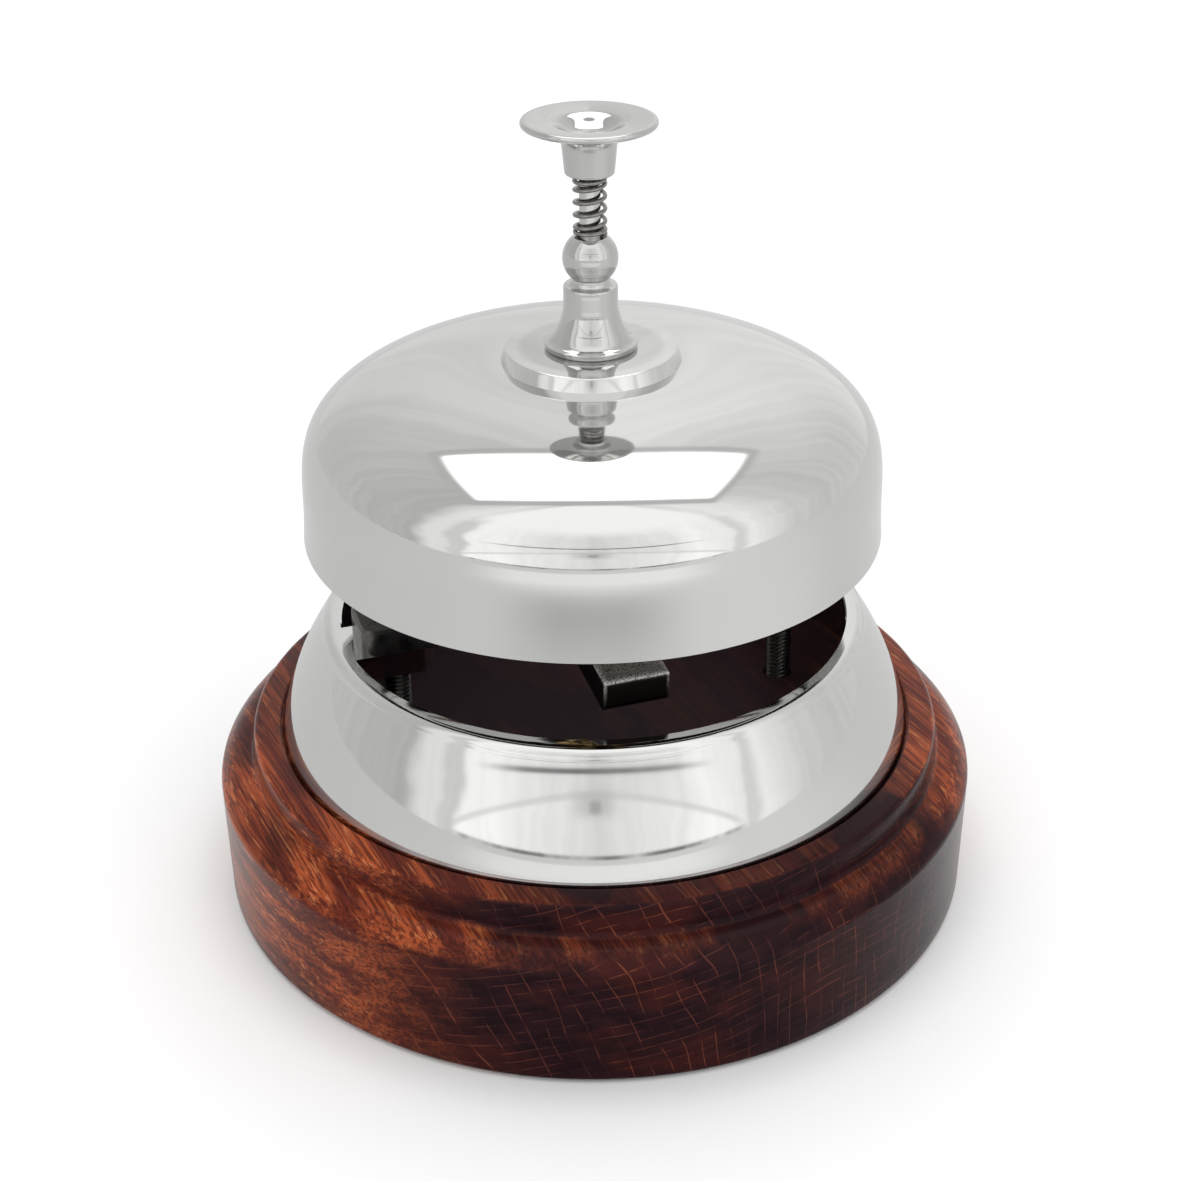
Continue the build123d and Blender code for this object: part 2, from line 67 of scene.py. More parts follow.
# ---------------------------------------------------------------- node-tree helper
class Tree:
    """Short names for building a shader tree."""

    def __init__(self, tree):
        self.tree = tree
        tree.nodes.clear()

    def node(self, kind, inputs=None, **settings):
        made = self.tree.nodes.new(kind)
        for name, value in settings.items():
            setattr(made, name, value)
        for name, value in (inputs or {}).items():
            self.feed(made.inputs[name], value)
        return made

    def feed(self, socket, value):
        if isinstance(value, bpy.types.NodeSocket):
            self.tree.links.new(value, socket)
        else:
            socket.default_value = value

    def math(self, operation, a, b=0.0, clamp=False):
        made = self.node("ShaderNodeMath", operation=operation, use_clamp=clamp)
        self.feed(made.inputs[0], a)
        self.feed(made.inputs[1], b)
        return made.outputs[0]

    def times(self, a, b):
        return self.math("MULTIPLY", a, b)

    def dot(self, a, b):
        made = self.node("ShaderNodeVectorMath", operation="DOT_PRODUCT")
        self.feed(made.inputs[0], a)
        self.feed(made.inputs[1], b)
        return made.outputs["Value"]

    def span(self, value, low, high, to_low=0.0, to_high=1.0, smooth=True):
        made = self.node("ShaderNodeMapRange", interpolation_type="SMOOTHSTEP" if smooth else "LINEAR")
        self.feed(made.inputs["Value"], value)
        for name, number in (("From Min", low), ("From Max", high), ("To Min", to_low), ("To Max", to_high)):
            self.feed(made.inputs[name], number)
        return made.outputs["Result"]

    def combine(self, x, y, z=0.0):
        return self.node("ShaderNodeCombineXYZ", {0: x, 1: y, 2: z}).outputs[0]

    def reach(self, x, y):
        """Length of the vector (x, y)."""
        return self.math("SQRT", self.math("ADD", self.times(x, x), self.times(y, y)))

    def azimuth(self, x, y):
        """Degrees round the bell: 0 on the camera's side, -Y, and 90 at +X."""
        return self.times(self.math("ARCTAN2", x, self.times(y, -1.0)), 180.0 / math.pi)

    def noise(self, vector, scale, detail=3.0, rough=0.5, distortion=0.0):
        made = self.node("ShaderNodeTexNoise")
        inputs = {"Scale": scale, "Detail": detail, "Roughness": rough, "Distortion": distortion}
        for name, value in {"Vector": vector, **inputs}.items():
            self.feed(made.inputs[name], value)
        return made.outputs[0]

    def mix(self, share, a, b, blend="MIX"):
        made = self.node("ShaderNodeMix", data_type="RGBA", blend_type=blend)
        self.feed(made.inputs[0], share)
        self.feed(made.inputs[6], a)
        self.feed(made.inputs[7], b)
        return made.outputs[2]


def material(name):
    made = bpy.data.materials.new(name)
    made.use_nodes = True
    return made, Tree(made.node_tree)


def millimetres(t):
    """The point being shaded, in millimetres of the row frame."""
    place = t.node("ShaderNodeTexCoord").outputs["Object"]
    return t.node("ShaderNodeVectorMath", {0: place, 3: 1000.0}, operation="SCALE").outputs[0]


BOSS_TOP_Z = 85.25               # flat top of the gong's boss, where the column stands
SHADED_R, UNSHADED_R = 9.5, 11.0     # from that height up, painted shade darkens the metal inside the first radius, none past the second
MARK_DEPTH = 0.0001              # bump distance of fine surface marks, m


def metal(name, color, rough, rough_spread, haze_scale, bump=0.0, bump_scale=3.0, painted_shade=1.0):
    """A plated or machined metal: its polish varies in soft clouds, with fine marks if bump is set.
    With the last argument below 1 the button, the column and the boss's top round it are darker by that factor:
    painted shade."""
    mat, t = material(name)
    place = millimetres(t)
    cloud = t.noise(place, haze_scale, 3.0)
    base = t.mix(cloud, [c * 0.96 for c in color] + [1], [min(1, c * 1.03) for c in color] + [1])
    if painted_shade < 1:
        # painted shade: above the boss top and inside the radii the colour is darkened, for the darker
        # surroundings these slim parts reflect
        x, y, z = t.node("ShaderNodeSeparateXYZ", {0: place}).outputs
        above = t.span(z, BOSS_TOP_Z - 0.15, BOSS_TOP_Z + 0.05)
        painted_shade_mask = t.times(t.span(t.reach(x, y), UNSHADED_R, SHADED_R), above)
        base = t.mix(painted_shade_mask, base, [c * painted_shade for c in color] + [1])
    shader = t.node("ShaderNodeBsdfPrincipled", {
        "Metallic": 1.0,
        "Base Color": base,
        "Roughness": t.span(cloud, 0.25, 0.75, rough, rough + rough_spread),
    })
    if bump:
        marks = t.noise(place, bump_scale, 4.0, 0.6)
        lift = t.node("ShaderNodeBump", {"Height": marks, "Strength": bump, "Distance": MARK_DEPTH})
        t.feed(shader.inputs["Normal"], lift.outputs[0])
    t.node("ShaderNodeOutputMaterial", {"Surface": shader.outputs[0]})
    return mat


# ---------------------------------------------------------------- wood
GRAIN_AZIMUTH = -64.0            # the plank's grain runs this way
PITH_ACROSS, PITH_Z = 20.0, -145.0   # the growth rings' centre line, across the grain and in height
PITH_TO_BASE = 158.0             # pith to the middle of the base's wall
RING_STEP = 1.60                 # growth ring spacing, mm
RAY_STEP = 2.3                   # spacing of the rays seen on end grain, mm
RECESS_R = 48.5                  # recess in the base for the ring


def stained_wood():
    """Dark stained beech under satin lacquer. End grain takes more stain than long grain."""
    mat, t = material("stained_wood")
    place = millimetres(t)
    c, s = math.cos(math.radians(GRAIN_AZIMUTH)), math.sin(math.radians(GRAIN_AZIMUTH))
    along = t.dot(place, (c, s, 0))
    across = t.dot(place, (-s, c, 0))
    height = t.dot(place, (0, 0, 1))

    def grained(along_scale, across_scale, height_scale, detail, rough=0.5, offset=0.0):
        rise = t.math("ADD", t.times(height, height_scale), offset)
        point = t.combine(t.times(along, along_scale), t.times(across, across_scale), rise)
        return t.noise(point, 1.0, detail, rough)

    # growth rings by distance from the pith, and rays by angle round it, both bent by slow noise
    side = t.math("SUBTRACT", across, PITH_ACROSS)
    up = t.math("SUBTRACT", height, PITH_Z)
    warp = t.times(grained(0.012, 0.035, 0.035, 2.0), 6.0)
    radius = t.math("ADD", t.reach(side, up), warp)
    ring_phase = t.math("FRACT", t.math("DIVIDE", radius, RING_STEP))
    ring_line = t.times(t.span(ring_phase, 0.87, 0.94), t.span(ring_phase, 1.0, 0.96))
    ring_shade = t.span(ring_phase, 0.0, 1.0, 0.0, 1.0, smooth=False)
    ring_breaks = t.span(grained(0.03, 0.22, 0.5, 3.0, 0.6, 140.0), 0.43, 0.60)
    swing = t.times(t.math("ARCTAN2", side, up), PITH_TO_BASE / RAY_STEP)
    swing = t.math("ADD", swing, t.times(grained(0.03, 0.05, 0.025, 2.0, 0.5, 9.0), 5.0))
    ray_phase = t.math("ABSOLUTE", t.math("SUBTRACT", t.math("FRACT", swing), 0.5))
    ray_line = t.span(ray_phase, 0.046, 0.016)
    ray_breaks = t.span(grained(0.10, 0.45, 0.14, 3.0, 0.6, 30.0), 0.43, 0.60)

    normal = t.node("ShaderNodeNewGeometry").outputs["Normal"]
    end = t.math("ABSOLUTE", t.dot(normal, (c, s, 0)))
    end_share = t.span(end, 0.38, 0.78)
    patches = grained(0.028, 0.05, 0.10, 3.0, 0.55, 50.0)
    fibre = grained(0.07, 2.4, 2.4, 4.0, 0.62, 70.0)
    dashes = grained(0.12, 1.8, 1.8, 3.0, 0.6, 170.0)
    streak = grained(0.016, 0.25, 0.34, 3.0, 0.55, 90.0)
    pores = grained(0.45, 6.0, 6.0, 2.0, 0.5, 110.0)

    # long grain: orange brown on the outer side, with dark purple stain near the middle
    body = t.mix(t.span(streak, 0.36, 0.64), (0.125, 0.0210, 0.0120, 1), (0.420, 0.0880, 0.0290, 1))
    long_grain = t.mix(t.times(t.span(fibre, 0.56, 0.42), 0.72), body, (0.052, 0.0095, 0.0080, 1))
    flecks = t.times(t.span(dashes, 0.56, 0.68), t.span(streak, 0.30, 0.58))
    flecks = t.times(flecks, t.span(end, 0.30, 0.60, 1.0, 0.35))
    long_grain = t.mix(t.times(flecks, 0.8), long_grain, (0.62, 0.215, 0.080, 1))
    middle = t.times(t.span(across, -46.0, -22.0), t.span(across, 40.0, 24.0))
    blotches = t.times(t.span(patches, 0.52, 0.64), 0.55)
    stained = t.math("ADD", t.times(middle, 0.76), blotches, clamp=True)
    long_grain = t.mix(stained, long_grain, (0.020, 0.0062, 0.0078, 1))

    # end grain: near black with fine rays and rings, purpler away from the warm side
    end_dark = t.mix(t.span(streak, 0.35, 0.65), (0.0100, 0.0038, 0.0062, 1), (0.022, 0.0066, 0.0095, 1))
    end_dark = t.mix(t.times(ring_shade, 0.30), end_dark, (0.034, 0.0090, 0.0105, 1))
    rays = t.times(ray_line, t.span(ray_breaks, 0.0, 1.0, 0.12, 1.0))
    rings = t.times(ring_line, t.span(ring_breaks, 0.0, 1.0, 0.08, 0.85))
    lines = t.math("MAXIMUM", rays, rings)
    tint = t.mix(t.span(patches, 0.35, 0.60), (0.30, 0.085, 0.042, 1), (0.13, 0.038, 0.030, 1))
    warm = t.span(across, -20.0, 30.0, 1.0, 0.0)
    browner = t.times(t.times(t.span(patches, 0.56, 0.40), warm), 0.50)
    end_grain = t.mix(browner, end_dark, (0.078, 0.0150, 0.0110, 1))
    end_grain = t.mix(t.times(lines, t.span(warm, 0.0, 1.0, 0.42, 0.58)), end_grain, tint)
    color = t.mix(end_share, long_grain, end_grain)
    color = t.mix(t.times(t.span(pores, 0.60, 0.75), 0.45), color, (0.010, 0.0045, 0.004, 1))

    # inside the ring the wood is greyer and has no lacquer
    flat_place = t.node("ShaderNodeVectorMath", {0: place, 1: (1, 1, 0)}, operation="MULTIPLY").outputs[0]
    reach = t.node("ShaderNodeVectorMath", {0: flat_place}, operation="LENGTH").outputs["Value"]
    inside = t.times(t.span(reach, RECESS_R - 0.05, RECESS_R - 0.3), t.span(height, 20.0, 21.0))
    color = t.mix(t.times(inside, 0.55), color, (0.110, 0.078, 0.092, 1))
    facing = t.node("ShaderNodeLayerWeight", {"Blend": 0.5}).outputs["Facing"]
    coat = t.times(t.span(facing, 0.30, 0.85, 0.10, 0.80), t.math("SUBTRACT", 1.0, inside))

    grain_lift = t.math("SUBTRACT", t.times(fibre, 0.5), t.times(pores, 0.5))
    bump = t.node("ShaderNodeBump", {"Height": grain_lift, "Strength": 0.2, "Distance": MARK_DEPTH})
    shader = t.node("ShaderNodeBsdfPrincipled", {
        "Base Color": color,
        "Roughness": t.span(fibre, 0.3, 0.7, 0.40, 0.55),
        "Specular IOR Level": 0.04,
        "Coat Weight": coat,
        "Coat Roughness": 0.16,
        "Coat IOR": 1.40,
        "Normal": bump.outputs[0],
    })
    t.node("ShaderNodeOutputMaterial", {"Surface": shader.outputs[0]})
    return mat


def block_with_painted_highlights():
    """Blackened metal, with painted highlights: its upper faces and upper edges are coloured bright for the
    light they catch.
    """
    mat, t = material("striker_metal")
    place = millimetres(t)
    normal = t.node("ShaderNodeNewGeometry").outputs["Normal"]
    lift = t.node("ShaderNodeSeparateXYZ", {0: normal}).outputs[2]
    rounded = t.node("ShaderNodeBevel", {"Radius": 0.0008}, samples=8).outputs[0]
    edge = t.span(t.dot(rounded, normal), 0.995, 0.94)
    grit = t.noise(place, 5.0, 4.0, 0.7)
    # painted highlight: upward faces and upper edges get a bright colour in patches set by the grit noise, and
    # there the metal is a little less rough
    top_face = t.span(lift, 0.50, 0.75)
    height = t.node("ShaderNodeSeparateXYZ", {0: place}).outputs[2]
    rim = t.times(edge, t.span(height, 46.0, 50.5, 0.05, 1.0))
    painted_light_mask = t.math("MAXIMUM", t.times(top_face, 0.8), rim)
    painted_highlight = t.times(painted_light_mask, t.span(grit, 0.40, 0.52))
    bump = t.node("ShaderNodeBump", {"Height": grit, "Strength": 0.4, "Distance": 0.0002, "Normal": rounded})
    shader = t.node("ShaderNodeBsdfPrincipled", {
        "Metallic": 1.0,
        "Base Color": t.mix(painted_highlight, (0.0105, 0.0078, 0.0074, 1), (0.86, 0.83, 0.80, 1)),
        "Roughness": t.span(painted_highlight, 0.0, 1.0, 0.42, 0.34),
        "Normal": bump.outputs[0],
    })
    t.node("ShaderNodeOutputMaterial", {"Surface": shader.outputs[0]})
    return mat


def pressed_fibre():
    """Vulcanised fibre: dull red brown with short pale strands pressed into the sheet."""
    mat, t = material("fibre")
    place = millimetres(t)
    cloud = t.noise(place, 0.9, 3.0)
    drawn_out = t.node("ShaderNodeVectorMath", {0: place, 1: (7.0, 2.0, 9.0)}, operation="MULTIPLY").outputs[0]
    strands = t.noise(drawn_out, 1.0, 4.0, 0.7, 0.6)
    color = t.mix(cloud, (0.150, 0.036, 0.022, 1), (0.240, 0.066, 0.040, 1))
    color = t.mix(t.times(t.span(strands, 0.58, 0.70), 0.5), color, (0.36, 0.145, 0.095, 1))
    bump = t.node("ShaderNodeBump", {"Height": strands, "Strength": 0.5, "Distance": MARK_DEPTH})
    shader = t.node("ShaderNodeBsdfPrincipled", {
        "Base Color": color,
        "Roughness": t.span(cloud, 0.3, 0.7, 0.50, 0.68),
        "Normal": bump.outputs[0],
    })
    t.node("ShaderNodeOutputMaterial", {"Surface": shader.outputs[0]})
    return mat


def felt():
    """Dark green wool felt with a loose nap."""
    mat, t = material("felt")
    place = millimetres(t)
    tuft = t.noise(place, 2.5, 5.0, 0.7)
    color = t.mix(tuft, (0.006, 0.020, 0.012, 1), (0.022, 0.060, 0.038, 1))
    bump = t.node("ShaderNodeBump", {"Height": tuft, "Strength": 0.8, "Distance": 0.0003})
    shader = t.node("ShaderNodeBsdfPrincipled", {
        "Base Color": color, "Roughness": 0.95, "Sheen Weight": 0.6, "Sheen Roughness": 0.5,
        "Specular IOR Level": 0.1, "Normal": bump.outputs[0],
    })
    t.node("ShaderNodeOutputMaterial", {"Surface": shader.outputs[0]})
    return mat


LOOKS = {
    "nickel": metal("polished_nickel", (0.68, 0.68, 0.67), 0.035, 0.035, 0.08, painted_shade=0.82),
    "stained_wood": stained_wood(),
    "felt": felt(),
    "plated_steel": metal("plated_steel", (0.12, 0.115, 0.11), 0.24, 0.14, 0.5, bump=0.25),
    "brass": metal("brass", (0.66, 0.48, 0.22), 0.18, 0.12, 0.5, bump=0.2),
    "striker_metal": block_with_painted_highlights(),
    "fibre": pressed_fibre(),
    "spring_steel": metal("spring_steel", (0.27, 0.26, 0.25), 0.16, 0.10, 1.0),
}
for entry in frame["record"]["subparts"]:
    node = NODES[entry["node"]]
    node.data.materials.clear()
    node.data.materials.append(LOOKS[entry["material_slot"]])


# ---------------------------------------------------------------- turned and wound pieces
BRIDGE_AZIMUTH = 18.0            # degrees from +X to the bridge, the lugs and the two base screws
SCREW_PITCH_R = 30.8             # the screws stand at this radius
SCREW_SIDES = (0.0, 180.0)
SCREW_HOLE_R, COUNTERBORE_R, SCREW_SEAT_Z = 2.2, 4.6, 6.6
FELT_TOP_Z = 1.6
RING_FOOT_Z = 25.4               # floor of the recess: the ring stands on it
RING_LIP_Z, RING_MOUTH_R = 43.4, 38.0
GONG_RIM_R, GONG_RIM_Z = 42.5, 57.55
GONG_WALL_R, GONG_WALL_Z = 42.2, 63.5            # a point part way up the gong's tapered wall
GONG_SHEET = 1.3
CROWN_EDGE_R, CROWN_Z = 12.9, 83.3               # the dome ends level here, at the foot of the boss
CROWN_SPRING_R, CROWN_SPRING_Z = 41.4, 70.9      # the dome's quarter ellipse starts here
BUTTON_TOP_Z, SKIRT_Z, ROD_R = 117.8, 110.2, 1.5
FINE_SEGMENTS, SMALL_SEGMENTS = 288, 128         # facets round a large and a small turned piece
SAME_POINT = 1e-4                                # outline points closer than this are one


def spline(points, start=None, end=None, steps=14):
    """Points along a smooth curve through (r, z) points, with given end directions."""
    points = np.array(points, float)
    chord = np.linalg.norm(np.diff(points, axis=0), axis=1)
    count = len(points)
    system = np.zeros((count, count))
    right = np.zeros((count, 2))
    for i in range(1, count - 1):
        before, after = chord[i - 1], chord[i]
        system[i, i - 1:i + 2] = after, 2 * (before + after), before
        step_in, step_out = points[i] - points[i - 1], points[i + 1] - points[i]
        right[i] = 3 * (after * step_in / before + before * step_out / after)
    for i, direction in ((0, start), (count - 1, end)):
        system[i, i] = 1
        neighbour = (points[1] - points[0]) if i == 0 else (points[-1] - points[-2])
        along = np.array(direction if direction is not None else neighbour, float)
        right[i] = along / np.linalg.norm(along)
    slopes = np.linalg.solve(system, right)
    out = []
    for i in range(count - 1):
        size = chord[i]
        for k in range(steps):
            q = k / steps
            out.append(tuple((2 * q**3 - 3 * q**2 + 1) * points[i] + (q**3 - 2 * q**2 + q) * size * slopes[i]
                             + (3 * q**2 - 2 * q**3) * points[i + 1] + (q**3 - q**2) * size * slopes[i + 1]))
    out.append(tuple(points[-1]))
    return out


def arc(start, middle, end, steps=8):
    """Points on the circle through three (r, z) points."""
    (ax, az), (bx, bz), (cx, cz) = start, middle, end
    d = 2 * (ax * (bz - cz) + bx * (cz - az) + cx * (az - bz))
    ox = ((ax**2 + az**2) * (bz - cz) + (bx**2 + bz**2) * (cz - az) + (cx**2 + cz**2) * (az - bz)) / d
    oz = ((ax**2 + az**2) * (cx - bx) + (bx**2 + bz**2) * (ax - cx) + (cx**2 + cz**2) * (bx - ax)) / d
    radius = math.hypot(ax - ox, az - oz)
    first, mid, last = (math.atan2(z - oz, x - ox) for x, z in (start, middle, end))
    turn = (last - first) % (2 * math.pi)
    if (mid - first) % (2 * math.pi) > turn:
        turn -= 2 * math.pi
    return [(ox + radius * math.cos(first + turn * k / steps), oz + radius * math.sin(first + turn * k / steps))
            for k in range(steps + 1)]


def new_piece(name, verts, faces, slot, body="base", sharp_deg=28.0):
    """A piece from a mesh in millimetres, smooth except at edges sharper than sharp_deg."""
    mesh = bpy.data.meshes.new(name)
    mesh.from_pydata([tuple(c * MM for c in v) for v in verts], [], faces)
    mesh.materials.append(LOOKS[slot])
    shell = bmesh.new()
    shell.from_mesh(mesh)
    bmesh.ops.recalc_face_normals(shell, faces=shell.faces)
    for face in shell.faces:
        face.smooth = True
    for edge in shell.edges:
        edge.smooth = len(edge.link_faces) == 2 and edge.calc_face_angle() < math.radians(sharp_deg)
    shell.to_mesh(mesh)
    shell.free()
    obj = bpy.data.objects.new(name, mesh)
    bpy.context.scene.collection.objects.link(obj)
    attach(obj, body)
    return obj


def lathe(name, outline, slot, body="base", segments=FINE_SEGMENTS):
    """A closed (r, z) outline turned about the bell's axis. An outline point with r = 0 becomes a pole."""
    loop = []
    for point in outline:
        if not loop or math.dist(point, loop[-1]) > SAME_POINT:
            loop.append(point)
    if math.dist(loop[0], loop[-1]) < SAME_POINT:
        loop.pop()
    verts, rows, faces = [], [], []
    for r, z in loop:
        count = 1 if r < 1e-6 else segments
        rows.append([len(verts) + k for k in range(count)])
        verts += [(r * math.cos(2 * math.pi * k / segments), r * math.sin(2 * math.pi * k / segments), z)
                  for k in range(count)]
    for i, row in enumerate(rows):
        after = rows[(i + 1) % len(rows)]
        if len(row) == 1 and len(after) == 1:
            continue
        for k in range(segments):
            k2 = (k + 1) % segments
            corners = [row[k % len(row)], row[k2 % len(row)], after[k2 % len(after)], after[k % len(after)]]
            faces.append(tuple(dict.fromkeys(corners)))
    return new_piece(name, verts, faces, slot, body)


def crown(inset, count=7):
    """The same points on the gong's dome as the CAD uses, moved inwards by inset."""
    a, b = CROWN_SPRING_R - CROWN_EDGE_R, CROWN_Z - CROWN_SPRING_Z
    points = []
    for i in range(count):
        turn = math.radians(90.0 * i / (count - 1))
        nr, nz = math.cos(turn) * b, math.sin(turn) * a
        size = math.hypot(nr, nz)
        points.append((CROWN_EDGE_R + a * math.cos(turn) - inset * nr / size,
                       CROWN_SPRING_Z + b * math.sin(turn) - inset * nz / size))
    return points


def gong():
    """Spun gong: rounded rim, tapered wall, elliptical dome and raised boss, as one sheet."""
    lip = 0.35
    outer, inner = crown(0), crown(GONG_SHEET)
    rim_z, inside_r = GONG_RIM_Z + lip, GONG_RIM_R - GONG_SHEET
    lean = (outer[0][0] - GONG_RIM_R, outer[0][1] - GONG_RIM_Z)
    outline = spline([(GONG_RIM_R, rim_z), (GONG_WALL_R, GONG_WALL_Z), *outer[1:]], lean, (-1, 0))
    outline += [(12.35, 84.9), (12.27, 85.08), (12.13, 85.2), (11.95, BOSS_TOP_Z)]
    bored_r, under_z = 3.1, BOSS_TOP_Z - GONG_SHEET
    outline += [(bored_r, BOSS_TOP_Z), (bored_r, under_z), (10.8, under_z), (12.25, 82.0)]
    outline += spline([*reversed(inner[1:]), (GONG_WALL_R - GONG_SHEET, GONG_WALL_Z), (inside_r, rim_z)],
                      (1, 0), (-lean[0], -lean[1]))
    outline += arc((inside_r, rim_z), (GONG_RIM_R - GONG_SHEET / 2, GONG_RIM_Z), (GONG_RIM_R, rim_z))
    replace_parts(lathe("gong_polished", outline, "nickel"), "gong")


def column():
    """Turned column on the boss: flange, waisted cone, collar, neck and ball, bored for the rod."""
    ball_r, ball_z, neck_r, top_r, foot_top = 3.93, 98.3, 2.7, 2.4, 86.3
    ball_foot = ball_z - math.sqrt(ball_r**2 - neck_r**2)
    ball_top = ball_z + math.sqrt(ball_r**2 - top_r**2)
    outline = [(2.97, BOSS_TOP_Z), (6.3, BOSS_TOP_Z), (6.55, 85.4), (6.65, 85.55), (6.75, 86.1), (6.7, 86.22)]
    outline += [(6.5, foot_top)]
    outline += spline([(6.5, foot_top), (4.9, 87.9), (4.12, 90.0), (3.87, 91.7)], (-1, 0.25), (0, 1))
    outline += [(3.85, 93.2), (3.84, 94.15), (3.76, 94.33), (3.6, 94.4)]
    outline += arc((3.6, 94.4), (3.0, 94.6), (neck_r, 95.0))
    outline += [(neck_r, ball_foot)]
    outline += arc((neck_r, ball_foot), (ball_r, ball_z), (top_r, ball_top), 28)
    outline += [(1.55, ball_top), (1.55, 92.2), (2.97, 92.2)]
    piece = lathe("finial_column_polished", outline, "nickel", segments=SMALL_SEGMENTS)
    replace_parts(piece, "finial_column")


def button():
    """Push button: a flat flange round a shallow bowl, over a tapered skirt bored for the rod."""
    top, skirt, rod = BUTTON_TOP_Z, SKIRT_Z, ROD_R
    bowl_r, bowl_z = 1.2, top - 2.3
    outline = [(rod, skirt), (3.1, skirt)]
    outline += arc((3.1, skirt), (3.38, skirt + 0.14), (3.48, skirt + 0.45), 5)
    outline += [(3.64, 112.3), (3.8, 114.1)]
    outline += spline([(3.8, 114.1), (4.25, 115.2), (6.2, 116.25), (8.9, 116.85)], (0.1, 1), (1, 0.2))
    outline += arc((8.9, 116.85), (9.4, 117.35), (8.95, top), 10)
    outline += spline([(8.95, top), (6.5, top - 0.22), (5.0, top - 0.52), (4.4, top - 0.84), (3.6, top - 1.42),
                       (2.8, top - 1.92), (2.1, top - 2.2), (bowl_r, bowl_z)], (-1, -0.06), (-1, 0), 8)
    outline += [(0, bowl_z), (0, skirt + 4.3), (rod, skirt + 4.3)]
    piece = lathe("button_polished", outline, "nickel", "plunger", SMALL_SEGMENTS)
    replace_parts(piece, "button")


def wound(z_start, sections, mean_r, wire_r, per_turn=36, around=12):
    """A helix of round wire: sections are (turns, rise) pairs wound one after another."""
    centres, turned = [], 0.0
    z = z_start
    for turns, rise in sections:
        steps = round(turns * per_turn)
        for k in range(steps):
            angle = 2 * math.pi * (turned + turns * k / steps)
            centres.append(Vector((mean_r * math.cos(angle), mean_r * math.sin(angle), z + rise * k / steps)))
        turned += turns
        z += rise
    angle = 2 * math.pi * turned
    centres.append(Vector((mean_r * math.cos(angle), mean_r * math.sin(angle), z)))
    verts, faces = [], []
    for i, centre in enumerate(centres):
        tangent = (centres[min(i + 1, len(centres) - 1)] - centres[max(i - 1, 0)]).normalized()
        out = Vector((centre.x, centre.y, 0)).normalized()
        up = tangent.cross(out).normalized()
        out = up.cross(tangent)
        verts += [tuple(centre + out * wire_r * math.cos(a) + up * wire_r * math.sin(a))
                  for a in (2 * math.pi * k / around for k in range(around))]
    for i in range(len(centres) - 1):
        for k in range(around):
            k2 = (k + 1) % around
            faces.append((i * around + k, i * around + k2, (i + 1) * around + k2, (i + 1) * around + k))
    last = (len(centres) - 1) * around
    faces.append(tuple(reversed(range(around))))
    faces.append(tuple(last + k for k in range(around)))
    return verts, faces


def return_spring():
    """Coil spring between the ball's flat top and the button's skirt, at rest; nothing here squashes it."""
    seat_z, clear, wire = 101.412, 0.32, 0.3
    low, high = seat_z + clear, SKIRT_Z - clear
    closed = 1.5 * 0.64
    sections = ((1.5, closed), (3.5, high - low - 2 * closed), (1.5, closed))
    piece = new_piece("return_spring_wire", *wound(low, sections, 2.12, wire), "spring_steel")
    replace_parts(piece, "return_spring")
    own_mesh(piece)


def threaded_screws():
    """The two base screws with a real thread: a wall whose radius follows a helical ridge."""
    pitch, crest, root, low, high, around, per_pitch = 0.7, 1.98, 1.56, 9.5, 46.4, 24, 8
    for index, side in enumerate(SCREW_SIDES):
        turn = Matrix.Rotation(math.radians(BRIDGE_AZIMUTH + side), 4, "Z")
        place = turn @ Matrix.Translation((SCREW_PITCH_R, 0, 0))
        rows = [(0.0, 2.9), (2.6, 2.9), (3.3, 3.25), (3.5, 4.1), (3.5, 5.8), (crest, 5.8), (crest, low - 0.1)]
        rows = [[(r, z)] * around for r, z in rows]
        steps = round((high - low) / pitch * per_pitch)
        for k in range(steps + 1):
            z = low + (high - low) * k / steps
            row = []
            for a in range(around):
                phase = (z / pitch - a / around) % 1.0
                depth = (crest - root) * abs(2 * phase - 1)
                tip = min(1.0, (high - z) / 0.5)
                row.append((crest - depth - 0.3 * (1 - tip), z))
            rows.append(row)
        rows.append([(0.0, high)] * around)
        verts, faces = [], []
        for row in rows:
            for a, (r, z) in enumerate(row):
                angle = 2 * math.pi * a / around
                verts.append(tuple(place @ Vector((r * math.cos(angle), r * math.sin(angle), z))))
        for i in range(len(rows) - 1):
            for a in range(around):
                b = (a + 1) % around
                faces.append((i * around + a, i * around + b, (i + 1) * around + b, (i + 1) * around + a))
        piece = new_piece(f"base_screw_{index + 1}", verts, faces, "plated_steel", sharp_deg=50.0)
        shell = bmesh.new()
        shell.from_mesh(piece.data)
        bmesh.ops.remove_doubles(shell, verts=shell.verts, dist=1e-7)
        bmesh.ops.dissolve_degenerate(shell, edges=shell.edges, dist=1e-7)
        shell.to_mesh(piece.data)
        shell.free()
        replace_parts(piece, "base_screws")


def felt_disc():
    """Felt with a soft cut edge and a slightly uneven underside."""
    radius, top = 52.0, FELT_TOP_Z
    outline = [(0, 0.0)] + [(radius * k / 40, 0.0) for k in range(1, 39)]
    outline += arc((51.2, 0.02), (51.85, 0.35), (radius, 0.9), 6) + [(51.95, 1.3), (51.7, top), (0, top)]
    piece = lathe("felt_disc", outline, "felt", segments=180)
    rng = np.random.default_rng(7)
    for vertex in piece.data.vertices:
        r = math.hypot(vertex.co.x, vertex.co.y) / MM
        tuft = float(rng.random())
        if vertex.co.z / MM < 0.01 and r > 1:
            vertex.co.z = 0.06 * tuft * MM
        elif r > 51.5 and vertex.co.z / MM < 1.5:
            shrink = 1 - 0.12 * tuft / r
            vertex.co.x *= shrink
            vertex.co.y *= shrink
    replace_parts(piece, "felt_pad")


